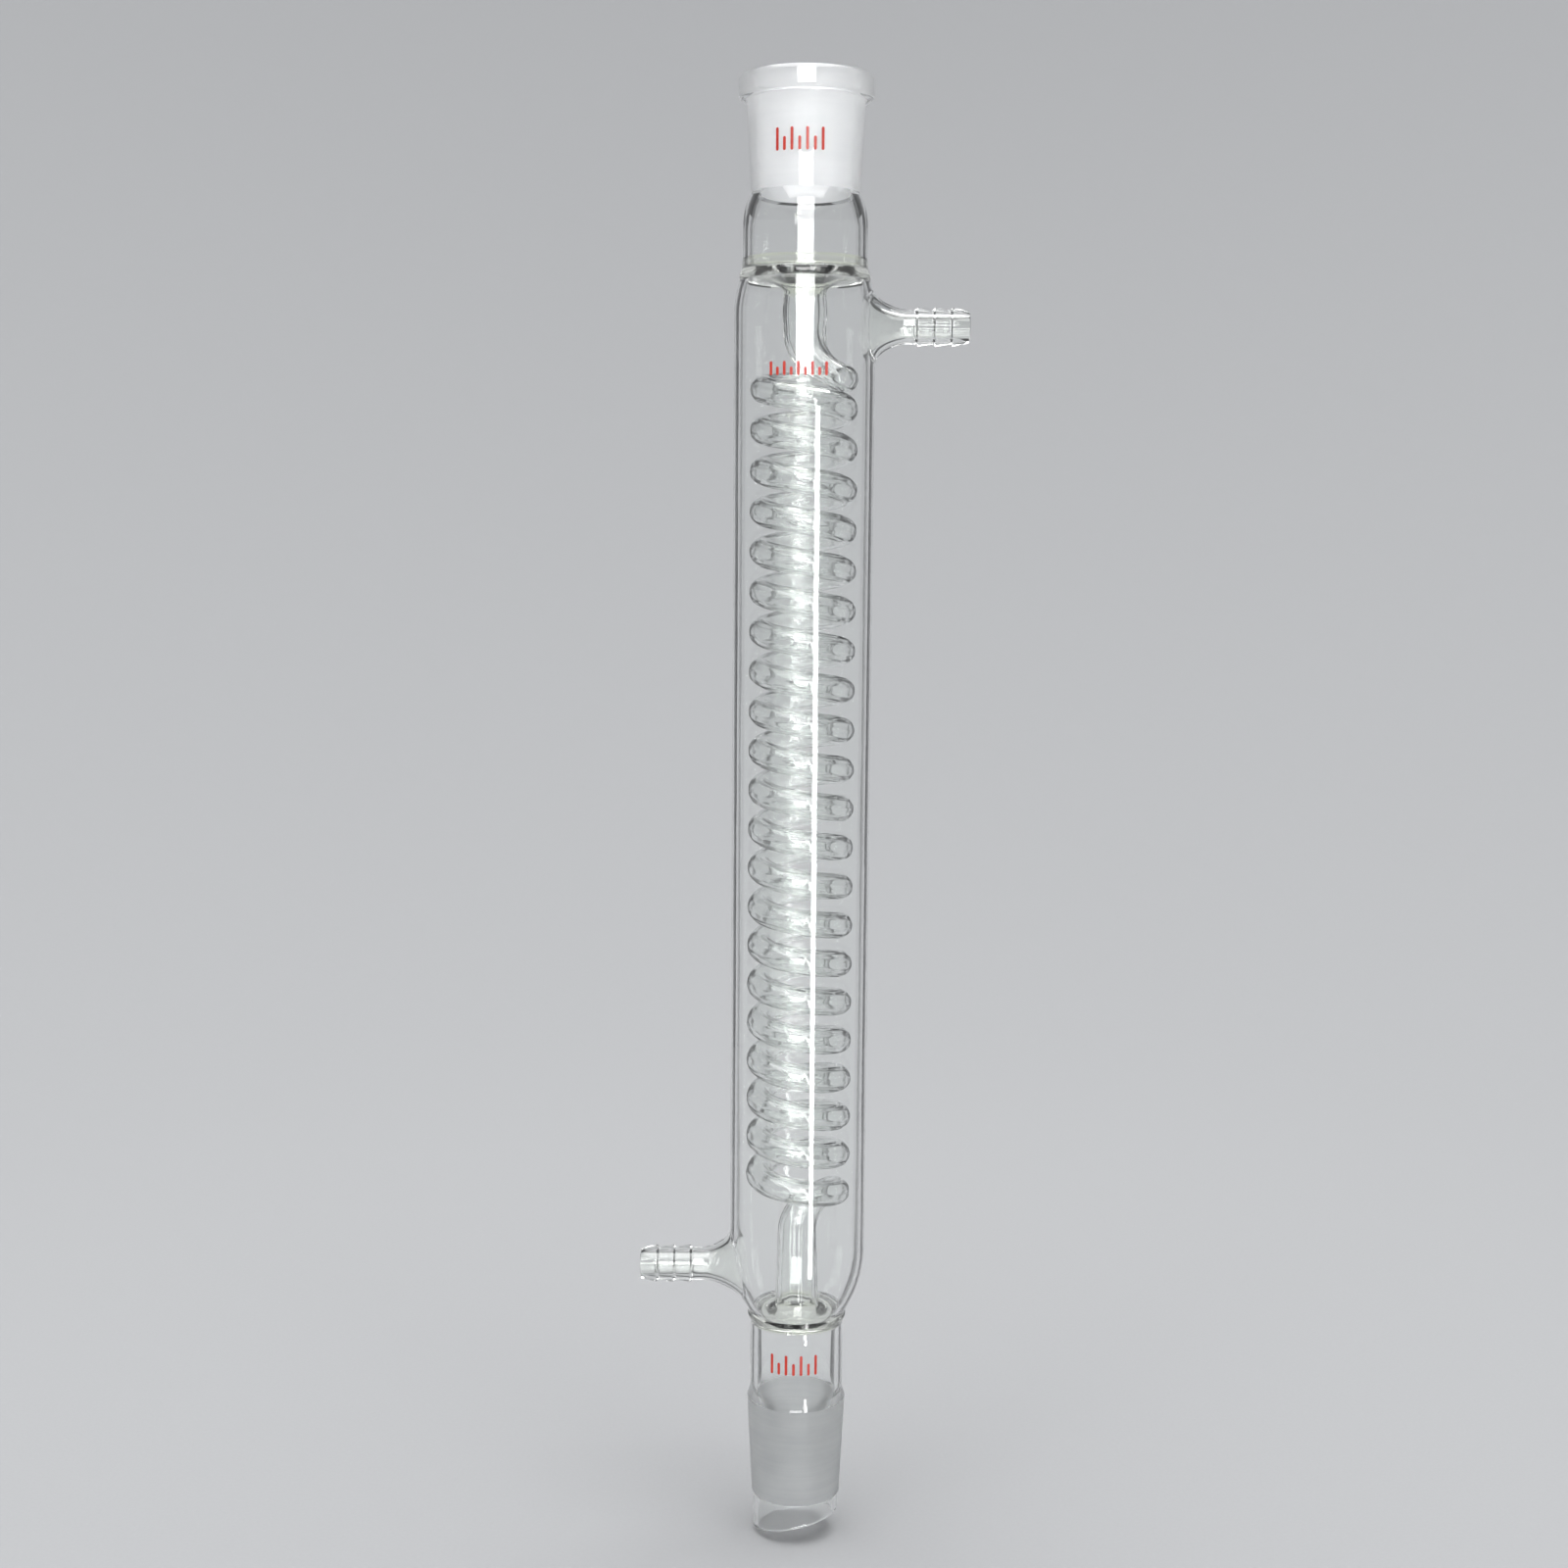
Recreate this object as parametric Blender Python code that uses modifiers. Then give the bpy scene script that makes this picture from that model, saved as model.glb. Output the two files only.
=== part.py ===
"""Coil condenser: a glass jacket round a wound inner tube, with a ground cone below,
a ground socket above and a hose nozzle at each end of the jacket.

The frame is in metres with +Z up the axis. Its origin is on the axis at the large end
of the ground cone. The upper nozzle points to +X and the front is -Y.
"""

import math

import bpy
from mathutils import Vector
from mathutils.geometry import interpolate_bezier

# Ground joints. Both taper by 1 in 10 on the diameter.
TAPER = 0.1
JOINT_RADIUS = 0.0146
SOCKET_LENGTH = 0.032
SOCKET_WALL = 0.00235
RIM_WIDTH = 0.0044
RIM_HEIGHT = 0.0066
RIM_TOP_ROUND = 0.0018
RIM_LOW_ROUND = 0.0012
CONE_LENGTH = 0.0295

# The tubes between the joints and the jacket. A step is a change of radius.
SOCKET_NECK_STEP = 0.0022
SOCKET_NECK_WALL = 0.0018
SOCKET_NECK_LENGTH = 0.018
SOCKET_NECK_BULGE = 0.0095
SOCKET_NECK_POWER = 2.4
CONE_NECK_STEP = 0.00085
CONE_NECK_WALL = 0.002
CONE_NECK_LENGTH = 0.0232
CONE_FLARE = 0.004
CONE_FLARE_POWER = 1.8

# The drip tip below the cone, cut off at a slant.
TIP_STEP = 0.0005
TIP_WALL = 0.0016
TIP_LENGTH = 0.0094
TIP_SHOULDER = 0.0009
TIP_SLANT_X = 0.2213
TIP_SLANT_Y = -0.142

# The water jacket, and how it draws in to the ring seals at its ends. A power says how
# late a curved shoulder bends.
JACKET_RADIUS = 0.020
JACKET_WALL = 0.0018
JACKET_LENGTH = 0.3001
JACKET_TOP_STEP = 0.00095
JACKET_TOP_SHOULDER = 0.009
JACKET_TOP_POWER = 1.8
JACKET_TOP_STRAIGHT = 0.0006
JACKET_FOOT_STEP = 0.00065
JACKET_FOOT_SHOULDER = 0.0191
JACKET_FOOT_POWER = 2.2
JACKET_HOLE_RADIUS = 0.007

# The ring seals, where the inner tube, the jacket and the end tube are fused.
UPPER_SEAL_HEIGHT = 0.006
LOWER_SEAL_HEIGHT = 0.0037
SEAL_BEAD = 0.0003
SEPTUM = 0.0022
UPPER_FUNNEL = 0.0040
LOWER_FUNNEL = 0.0036
DISH = 0.7

# The inner tube: a stem, the wound coil and a second stem.
COIL_TUBE_RADIUS = 0.0038
COIL_TUBE_WALL = 0.0011
COIL_SPACE = 0.0038
COIL_CLEARANCE = 0.00285
COIL_TOP_SPACE = 0.02725
COIL_FOOT_SPACE = 0.0363
STEM_WALL = 0.0013
UPPER_STEM_RADIUS = 0.006
LOWER_STEM_RADIUS = 0.00635
UPPER_STEM_STRAIGHT = 0.0104
LOWER_STEM_TOP_RADIUS = 0.00565
LOWER_SWEEP_DROP = 0.0127
STEM_BEND = 0.0095
STEM_DRAWN = 0.55

# The hose nozzles.
NOZZLE_REACH = 0.0465
NOZZLE_BORE_RADIUS = 0.0032
NOZZLE_RADIUS = 0.005
NOZZLE_WALL = 0.0016
NOZZLE_FLARE_RADIUS = 0.0103
NOZZLE_FLARE_LENGTH = 0.0088
NOZZLE_FLARE_POWER = 2.4
BARB_RADIUS = 0.0054
BARB_COUNT = 3
BARB_PITCH = 0.0049
BARB_BACK = 0.0006
TIP_END_RADIUS = 0.0044
UPPER_NOZZLE_DROP = 0.0126
LOWER_NOZZLE_RISE = 0.0134

# The fired enamel marks: a base line with upright ticks. Each has its middle a little
# aside of the front, and its foot above or below a seam.
MARK_THICKNESS = 0.0003
MARK_STROKE = 0.0007
SHORT_TICK = 0.6
SOCKET_MARK = {"aside": -0.0021, "width": 0.0135, "height": 0.0061, "ticks": 7}
SOCKET_MARK_RISE = 0.0094
JACKET_MARK = {"aside": -0.002, "width": 0.0166, "height": 0.0038, "ticks": 9}
JACKET_MARK_DROP = 0.0274
CONE_MARK = {"aside": -0.001, "width": 0.0142, "height": 0.006, "ticks": 7}
CONE_MARK_DROP = 0.0122

# The slit that is left where two glass pieces are fused.
SEAM = 0.0003

ROUND_STEPS = 32
NOZZLE_STEPS = 20
COIL_STEPS = 12
SWEEP_STEPS = 9
TUBE_SIDES = 6

CLEAR = ((0.88, 0.91, 0.89), 0.03, 0.9)
THICK = ((0.80, 0.88, 0.74), 0.04, 0.85)
GROUND = ((0.86, 0.87, 0.87), 0.6, 0.4)
ENAMEL = ((0.80, 0.06, 0.03), 0.35, 0.0)

# Heights on the axis, all built up from the cone's large end.
LOWER_SEAL_FOOT = CONE_NECK_LENGTH
JACKET_FOOT = LOWER_SEAL_FOOT + LOWER_SEAL_HEIGHT
JACKET_TOP = JACKET_FOOT + JACKET_LENGTH
SOCKET_NECK_FOOT = JACKET_TOP + UPPER_SEAL_HEIGHT
SOCKET_FOOT = SOCKET_NECK_FOOT + SOCKET_NECK_LENGTH
COIL_RADIUS = JACKET_RADIUS - JACKET_WALL - COIL_CLEARANCE - COIL_TUBE_RADIUS
COIL_TOP = JACKET_TOP - COIL_TOP_SPACE
COIL_FOOT = JACKET_FOOT + COIL_FOOT_SPACE

# Outer radii where one piece takes over from the next.
RIM_RADIUS = JOINT_RADIUS + RIM_WIDTH
SOCKET_FOOT_RADIUS = JOINT_RADIUS - TAPER / 2 * SOCKET_LENGTH + SOCKET_WALL
SOCKET_NECK_RADIUS = SOCKET_FOOT_RADIUS + SOCKET_NECK_STEP
JACKET_TOP_RADIUS = SOCKET_NECK_RADIUS + JACKET_TOP_STEP
CONE_NECK_RADIUS = JOINT_RADIUS - CONE_NECK_STEP
JACKET_FOOT_RADIUS = CONE_NECK_RADIUS + JACKET_FOOT_STEP
CONE_FOOT_RADIUS = JOINT_RADIUS - TAPER / 2 * CONE_LENGTH
TIP_RADIUS = CONE_FOOT_RADIUS - TIP_STEP

# A septum hangs inside the jacket, so it clears the jacket where that is narrower.
UPPER_SEPTUM_RADIUS = min(JACKET_TOP_RADIUS, JACKET_RADIUS) - JACKET_WALL - SEAM
LOWER_SEPTUM_RADIUS = min(JACKET_FOOT_RADIUS, JACKET_RADIUS) - JACKET_WALL - SEAM


def clear_scene():
    for thing in list(bpy.data.objects):
        bpy.data.objects.remove(thing, do_unlink=True)


def new_collection(name):
    collection = bpy.data.collections.new(name)
    bpy.context.scene.collection.children.link(collection)
    return collection


def add_object(name, data, finish, place=(0, 0, 0), turn=(0, 0, 0)):
    """An object of the condenser, with a material of its own."""
    thing = bpy.data.objects.new(name, data)
    PARTS.objects.link(thing)
    thing.parent = AXIS
    thing.location = place
    thing.rotation_euler = turn
    data.materials.append(new_material(name, *finish))
    return thing


def new_material(name, colour, roughness, transmission):
    material = bpy.data.materials.new(name + "_finish")
    material.use_nodes = True
    shader = material.node_tree.nodes["Principled BSDF"]
    shader.inputs["Base Color"].default_value = (*colour, 1)
    shader.inputs["Roughness"].default_value = roughness
    shader.inputs["Metallic"].default_value = 0
    shader.inputs["Transmission Weight"].default_value = transmission
    material.diffuse_color = (*colour, 1)
    return material


def add_cutter(thing):
    """Marks an object as a cutter, which isn't a part of the condenser."""
    for collection in list(thing.users_collection):
        collection.objects.unlink(thing)
    CUTTERS.objects.link(thing)
    thing.parent = AXIS
    thing.hide_render = True
    thing.display_type = "WIRE"
    return thing


def profile_mesh(name, points, closed):
    """A line of (radius, height) points in the XZ plane."""
    mesh = bpy.data.meshes.new(name)
    edges = [(i, i + 1) for i in range(len(points) - 1)]
    if closed:
        edges.append((len(points) - 1, 0))
    mesh.from_pydata([(radius, 0, height) for radius, height in points], edges, [])
    return mesh


def add_screw(thing, steps):
    """Turns a profile round its Z axis."""
    screw = thing.modifiers.new("turn", "SCREW")
    screw.axis = "Z"
    screw.angle = math.tau
    screw.steps = steps
    screw.render_steps = steps
    screw.use_merge_vertices = True
    screw.merge_threshold = 0.00001
    return screw


def add_wall(thing, thickness):
    """Thickens a surface towards its inner side."""
    wall = thing.modifiers.new("wall", "SOLIDIFY")
    wall.thickness = thickness
    wall.offset = -1
    return wall


def add_cut(thing, cutter):
    cut = thing.modifiers.new(cutter.name, "BOOLEAN")
    cut.operation = "DIFFERENCE"
    cut.object = cutter
    return cut


def turned(name, outline, finish, place=(0, 0, 0), turn=(0, 0, 0), steps=ROUND_STEPS):
    """A turned solid. Its closed outline runs down the outer side and up the inner."""
    thing = add_object(name, profile_mesh(name, outline, True), finish, place, turn)
    add_screw(thing, steps)
    return thing


def turned_shell(name, line, wall, finish, place=(0, 0, 0)):
    """A turned tube of even wall. Its open line runs down the outer side."""
    thing = add_object(name, profile_mesh(name, line, False), finish, place)
    add_screw(thing, ROUND_STEPS)
    add_wall(thing, wall)
    return thing


def tube(name, path, wall, finish):
    """An open-ended tube along (point, outer radius) pairs."""
    curve = bpy.data.curves.new(name, "CURVE")
    curve.dimensions = "3D"
    curve.bevel_depth = COIL_TUBE_RADIUS
    curve.bevel_resolution = TUBE_SIDES // 2 - 2
    curve.use_fill_caps = False
    spline = curve.splines.new("POLY")
    spline.points.add(len(path) - 1)
    for point, (place, radius) in zip(spline.points, path):
        point.co = (*place, 1)
        point.radius = radius / COIL_TUBE_RADIUS
    thing = add_object(name, curve, finish)
    add_wall(thing, wall)
    return thing


def arc(radius, height, size, start, stop, count=4):
    """Points of a round edge about (radius, height), from start to stop in degrees."""
    found = []
    for i in range(count + 1):
        angle = math.radians(start + (stop - start) * i / count)
        found.append((radius + size * math.cos(angle), height + size * math.sin(angle)))
    return found


def funnel(wide, rim, narrow, throat, count=6):
    """A dished line from (wide, rim), where it is flat, to (narrow, throat), where it
    runs along the axis."""
    found = []
    for i in range(count + 1):
        angle = math.pi / 2 * i / count
        radius = wide - (wide - narrow) * math.sin(angle)
        height = throat + (rim - throat) * max(math.cos(angle), 0) ** DISH
        found.append((radius, height))
    return found


def drawn_in(full, end, length, power, count):
    """Points of a shoulder that goes from the radius full to end over length."""
    found = []
    for i in range(count + 1):
        share = i / count
        found.append((full + (end - full) * share**power, length * share))
    return found


def socket_bore(height):
    """The socket's ground bore at a height above the socket's foot."""
    return JOINT_RADIUS - TAPER / 2 * (SOCKET_LENGTH - height)


def add_socket():
    foot = SEAM / 2
    rim_foot = SOCKET_LENGTH - RIM_HEIGHT
    outline = [(socket_bore(SOCKET_LENGTH), SOCKET_LENGTH)]
    outline += arc(
        RIM_RADIUS - RIM_TOP_ROUND, SOCKET_LENGTH - RIM_TOP_ROUND, RIM_TOP_ROUND, 90, 0
    )
    outline += arc(
        RIM_RADIUS - RIM_LOW_ROUND, rim_foot + RIM_LOW_ROUND, RIM_LOW_ROUND, 0, -90, 3
    )
    outline += [
        (socket_bore(rim_foot) + SOCKET_WALL, rim_foot - SEAM),
        (socket_bore(foot) + SOCKET_WALL, foot),
        (socket_bore(foot), foot),
    ]
    turned("socket_joint", outline, GROUND, (0, 0, SOCKET_FOOT))


def add_socket_neck():
    start = SOCKET_NECK_LENGTH - SOCKET_NECK_BULGE
    length = SOCKET_NECK_BULGE - SEAM / 2
    bulge = drawn_in(SOCKET_NECK_RADIUS, SOCKET_FOOT_RADIUS, length, SOCKET_NECK_POWER, 7)
    line = [(radius, start + height) for radius, height in reversed(bulge)]
    line.append((SOCKET_NECK_RADIUS, SEAM / 2))
    turned_shell("socket_neck", line, SOCKET_NECK_WALL, CLEAR, (0, 0, SOCKET_NECK_FOOT))


def add_upper_seal():
    """The ring between jacket and neck, with the dished septum that holds the stem."""
    top = UPPER_SEAL_HEIGHT - SEAM / 2
    seat = SEAM / 2
    outline = [
        (SOCKET_NECK_RADIUS, top),
        (SOCKET_NECK_RADIUS + SEAL_BEAD, top * 0.8),
        (SOCKET_NECK_RADIUS + SEAL_BEAD / 2, top * 0.55),
        (JACKET_TOP_RADIUS, top * 0.25),
        (JACKET_TOP_RADIUS, seat),
    ]
    outline += funnel(UPPER_SEPTUM_RADIUS, seat, UPPER_STEM_RADIUS, -UPPER_FUNNEL)
    upper_side = funnel(
        SOCKET_NECK_RADIUS - SOCKET_NECK_WALL,
        seat + SEPTUM,
        UPPER_STEM_RADIUS - STEM_WALL,
        -UPPER_FUNNEL,
    )
    upper_side.reverse()
    outline += upper_side
    outline.append((SOCKET_NECK_RADIUS - SOCKET_NECK_WALL, top))
    turned("upper_ring_seal", outline, THICK, (0, 0, JACKET_TOP))


def jacket_line():
    """The jacket's outer side from its top to its foot, above the jacket's foot."""
    shoulder = JACKET_TOP_SHOULDER - JACKET_TOP_STRAIGHT
    top = drawn_in(JACKET_RADIUS, JACKET_TOP_RADIUS, shoulder, JACKET_TOP_POWER, 4)
    top_start = JACKET_LENGTH - JACKET_TOP_SHOULDER
    line = [(JACKET_TOP_RADIUS, JACKET_LENGTH)]
    line += [(radius, top_start + height) for radius, height in reversed(top)]
    foot = drawn_in(
        JACKET_RADIUS, JACKET_FOOT_RADIUS, JACKET_FOOT_SHOULDER, JACKET_FOOT_POWER, 7
    )
    line += [(radius, JACKET_FOOT_SHOULDER - height) for radius, height in foot]
    return line


def add_jacket():
    line = jacket_line()
    jacket = turned_shell("jacket_tube", line, JACKET_WALL, CLEAR, (0, 0, JACKET_FOOT))
    for name, side, height in NOZZLES:
        add_cut(jacket, hole_cutter(name + "_hole", side, height))


def hole_cutter(name, side, height):
    """A rod along X that opens the jacket where a nozzle stands."""
    bpy.ops.mesh.primitive_cylinder_add(
        vertices=NOZZLE_STEPS,
        radius=JACKET_HOLE_RADIUS,
        depth=JACKET_RADIUS,
        location=(side * JACKET_RADIUS, 0, height),
        rotation=(0, math.pi / 2, 0),
    )
    cutter = bpy.context.object
    cutter.name = name
    return add_cutter(cutter)


def jacket_cutter():
    """A solid just larger than the jacket, which a nozzle's base is fitted to."""
    line = [(radius + SEAM, height) for radius, height in jacket_line()]
    outline = [(0, JACKET_LENGTH), *line, (0, 0)]
    cutter = bpy.data.objects.new(
        "jacket_shape", profile_mesh("jacket_shape", outline, False)
    )
    CUTTERS.objects.link(cutter)
    cutter.location = (0, 0, JACKET_FOOT)
    add_screw(cutter, ROUND_STEPS)
    return add_cutter(cutter)


def nozzle_outline():
    """The nozzle from its tip, at NOZZLE_REACH, down to inside the jacket's wall."""
    base = (JACKET_RADIUS**2 - NOZZLE_FLARE_RADIUS**2) ** 0.5 - JACKET_WALL
    flare_top = JACKET_RADIUS + NOZZLE_FLARE_LENGTH
    outline = [(NOZZLE_BORE_RADIUS, NOZZLE_REACH), (TIP_END_RADIUS, NOZZLE_REACH)]
    for i in range(BARB_COUNT):
        ridge = NOZZLE_REACH - BARB_PITCH * (i + 1)
        outline.append((BARB_RADIUS, ridge))
        outline.append((NOZZLE_RADIUS, ridge - BARB_BACK))
    flare = []
    steps = 6
    for i in range(steps + 1):
        share = i / steps
        wide = (NOZZLE_FLARE_RADIUS - NOZZLE_RADIUS) * share**NOZZLE_FLARE_POWER
        flare.append((NOZZLE_RADIUS + wide, flare_top - NOZZLE_FLARE_LENGTH * share))
    outline += flare
    outline.append((NOZZLE_FLARE_RADIUS, base))
    outline.append((NOZZLE_FLARE_RADIUS - NOZZLE_WALL, base))
    for radius, height in reversed(flare):
        outline.append((max(radius - NOZZLE_WALL, NOZZLE_BORE_RADIUS), height))
    return outline


def add_nozzles():
    shape = jacket_cutter()
    for name, side, height in NOZZLES:
        nozzle = turned(
            name,
            nozzle_outline(),
            CLEAR,
            (0, 0, height),
            (0, side * math.pi / 2, 0),
            NOZZLE_STEPS,
        )
        add_cut(nozzle, shape)


def add_lower_seal():
    """The ring between jacket and cone neck, with the septum that holds the stem."""
    top = LOWER_SEAL_HEIGHT - SEAM / 2
    foot = SEAM / 2
    throat = LOWER_SEAL_HEIGHT + LOWER_FUNNEL
    outline = funnel(LOWER_SEPTUM_RADIUS, top, LOWER_STEM_RADIUS, throat)
    outline.reverse()
    outline += [
        (JACKET_FOOT_RADIUS, top),
        (JACKET_FOOT_RADIUS + SEAL_BEAD, top * 0.55),
        (CONE_NECK_RADIUS + SEAL_BEAD, foot + SEAL_BEAD),
        (CONE_NECK_RADIUS, foot),
        (CONE_NECK_RADIUS - CONE_NECK_WALL, foot),
    ]
    outline += funnel(
        CONE_NECK_RADIUS - CONE_NECK_WALL,
        top - SEPTUM,
        LOWER_STEM_RADIUS - STEM_WALL,
        throat,
    )
    turned("lower_ring_seal", outline, THICK, (0, 0, LOWER_SEAL_FOOT))


def cone_surface(depth):
    """The cone's ground radius at a depth below its large end."""
    return JOINT_RADIUS - TAPER / 2 * depth


def cone_bore(depth):
    """The bore through the cone, which narrows from the neck's to the tip's."""
    neck = CONE_NECK_RADIUS - CONE_NECK_WALL
    tip = TIP_RADIUS - TIP_WALL
    return neck + (tip - neck) * depth / CONE_LENGTH


def add_cone_neck():
    foot = SEAM / 2
    top = CONE_NECK_LENGTH - SEAM / 2
    flare = drawn_in(CONE_NECK_RADIUS, JOINT_RADIUS, CONE_FLARE - foot, CONE_FLARE_POWER, 4)
    outline = [(CONE_NECK_RADIUS, top)]
    outline += [(radius, CONE_FLARE - height) for radius, height in flare]
    outline += [(cone_bore(0), foot), (cone_bore(0), top)]
    turned("cone_neck", outline, CLEAR)


def add_cone():
    top = SEAM / 2
    foot = CONE_LENGTH - SEAM / 2
    outline = [
        (cone_surface(top), -top),
        (cone_surface(foot), -foot),
        (cone_bore(foot), -foot),
        (cone_bore(top), -top),
    ]
    turned("ground_cone", outline, GROUND)


def slant_cutter():
    """A block whose top face is the slanted plane that ends the drip tip."""
    size = 4 * TIP_RADIUS
    down = Vector((TIP_SLANT_X, TIP_SLANT_Y, -1)).normalized()
    bpy.ops.mesh.primitive_cube_add(
        size=size,
        location=Vector((0, 0, -CONE_LENGTH - TIP_LENGTH)) + down * size / 2,
        rotation=(-down).to_track_quat("Z", "Y").to_euler(),
    )
    cutter = bpy.context.object
    cutter.name = "slant"
    return add_cutter(cutter)


def add_drip_tip():
    top = -SEAM / 2
    bore = TIP_RADIUS - TIP_WALL
    shoulder = CONE_FOOT_RADIUS - SEAM / 2
    lowest = top - 2 * TIP_LENGTH
    outline = [
        (shoulder, top),
        ((shoulder + TIP_RADIUS) / 2, top - TIP_SHOULDER / 3),
        (TIP_RADIUS, top - TIP_SHOULDER),
        (TIP_RADIUS, lowest),
        (bore, lowest),
        (bore, top),
    ]
    tip = turned("drip_tip", outline, CLEAR, (0, 0, -CONE_LENGTH))
    add_cut(tip, slant_cutter())


def coil_pitch():
    """The pitch that fits whole turns in, and their number. The first half turn
    levels out of the stem's sweep and drops only a quarter of the pitch."""
    height = COIL_TOP - COIL_FOOT
    turns = round(height / (2 * COIL_TUBE_RADIUS + COIL_SPACE) + 0.25)
    return height / (turns - 0.25), turns


def coil_point(angle):
    """A point of the coil's centre line. Going down, it turns from +X towards +Y."""
    pitch, _ = coil_pitch()
    if angle < math.pi:
        drop = pitch / 4 * (angle / math.pi) ** 2
    else:
        drop = pitch / 4 + pitch * (angle - math.pi) / math.tau
    return Vector(
        (COIL_RADIUS * math.cos(angle), COIL_RADIUS * math.sin(angle), COIL_TOP - drop)
    )


def add_coil():
    _, turns = coil_pitch()
    last = turns * math.tau
    angles = [i * math.tau / COIL_STEPS for i in range(turns * COIL_STEPS + 1)]
    for square_end in (math.radians(12), math.radians(3)):
        angles.insert(1, square_end)
        angles.insert(-1, last - square_end)
    angles.sort()
    path = [(coil_point(angle), COIL_TUBE_RADIUS) for angle in angles]
    tube("coil_tube", path, COIL_TUBE_WALL, CLEAR)


def stem_sweep(coil_end, coil_handle, bend, stem_radius):
    """The sweep from a stem's bend on the axis to the coil's end. The tube is drawn
    down to the coil's size on the way. The segment at the coil is short, so that the
    end stands square to its run."""
    fine = 4 * SWEEP_STEPS
    side = math.copysign(STEM_BEND, coil_end.z - bend.z)
    handle = bend + Vector((0, 0, side))
    points = interpolate_bezier(bend, handle, coil_handle, coil_end, fine + 1)
    path = []
    for i in [*range(0, fine, 4), fine - 1, fine]:
        drawn = min(i / fine / STEM_DRAWN, 1)
        radius = stem_radius + (COIL_TUBE_RADIUS - stem_radius) * drawn
        path.append((points[i], radius))
    return path


def add_upper_stem():
    """From the septum straight down, then forwards and to the right into the coil."""
    top = Vector((0, 0, JACKET_TOP - UPPER_FUNNEL - SEAM))
    bend = top - Vector((0, 0, UPPER_STEM_STRAIGHT))
    coil_end = coil_point(0) - Vector((0, SEAM, 0))
    handle = coil_end - Vector((0, COIL_RADIUS, 0))
    path = [(top, UPPER_STEM_RADIUS)]
    path += stem_sweep(coil_end, handle, bend, UPPER_STEM_RADIUS)
    tube("upper_stem", path, STEM_WALL, CLEAR)


def add_lower_stem():
    """From the coil's last turn back to the axis, then straight down to the septum."""
    pitch, turns = coil_pitch()
    slope = Vector((0, COIL_RADIUS, -pitch / math.tau))
    coil_end = coil_point(turns * math.tau) + slope.normalized() * SEAM
    bend = Vector((0, 0, coil_end.z - LOWER_SWEEP_DROP))
    throat = LOWER_SEAL_FOOT + LOWER_SEAL_HEIGHT + LOWER_FUNNEL
    foot = Vector((0, 0, throat + SEAM))
    path = [(foot, LOWER_STEM_RADIUS)]
    path += stem_sweep(coil_end, coil_end + slope, bend, LOWER_STEM_TOP_RADIUS)
    tube("lower_stem", path, STEM_WALL, CLEAR)


def add_mark(name, surface, foot, aside, width, height, ticks):
    """An enamel mark on the front: a base line with upright ticks, every other one
    shorter. surface gives the glass's radius at a height."""
    columns = 2 * ticks - 1
    mesh = bpy.data.meshes.new(name)
    points = []
    faces = []

    def add_panel(left, right, low, high):
        first = len(points)
        for across, up in ((left, low), (right, low), (right, high), (left, high)):
            radius = surface(foot + up) + SEAM
            angle = (aside + across) / surface(foot) - math.pi / 2
            points.append(
                (radius * math.cos(angle), radius * math.sin(angle), foot + up)
            )
        faces.append((first, first + 1, first + 2, first + 3))

    for column in range(columns):
        left = width * (column / columns - 0.5)
        right = width * ((column + 1) / columns - 0.5)
        add_panel(left, right, 0, MARK_STROKE)
        if column % 4 == 0:
            add_panel(left, right, MARK_STROKE, height)
        elif column % 2 == 0:
            add_panel(left, right, MARK_STROKE, height * SHORT_TICK)
    mesh.from_pydata(points, [], faces)
    mark = add_object(name, mesh, ENAMEL)
    weld = mark.modifiers.new("weld", "WELD")
    weld.merge_threshold = 0.00001
    coat = add_wall(mark, MARK_THICKNESS)
    coat.offset = 1


def add_marks():
    add_mark(
        "socket_size_mark",
        lambda height: socket_bore(height - SOCKET_FOOT) + SOCKET_WALL,
        SOCKET_FOOT + SOCKET_MARK_RISE,
        **SOCKET_MARK,
    )
    add_mark(
        "jacket_length_mark",
        lambda height: JACKET_RADIUS,
        JACKET_TOP - JACKET_MARK_DROP,
        **JACKET_MARK,
    )
    add_mark(
        "cone_size_mark",
        lambda height: CONE_NECK_RADIUS,
        LOWER_SEAL_FOOT - CONE_MARK_DROP,
        **CONE_MARK,
    )


clear_scene()
PARTS = new_collection("coil_condenser")
CUTTERS = new_collection("cutters")
AXIS = bpy.data.objects.new("condenser_axis", None)
PARTS.objects.link(AXIS)
NOZZLES = (
    ("upper_nozzle", 1, JACKET_TOP - UPPER_NOZZLE_DROP),
    ("lower_nozzle", -1, JACKET_FOOT + LOWER_NOZZLE_RISE),
)

add_socket()
add_socket_neck()
add_upper_seal()
add_jacket()
add_nozzles()
add_lower_seal()
add_cone_neck()
add_cone()
add_drip_tip()
add_coil()
add_upper_stem()
add_lower_stem()
add_marks()
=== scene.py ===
"""The looks of a coil condenser: blown and drawn borosilicate glass, fused into one piece,
on a plain pale ground under soft studio light. Metres, +Z up the axis.
"""

import math

import bmesh
import bpy
from mathutils import Matrix, Vector
from mathutils.geometry import interpolate_bezier


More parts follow.
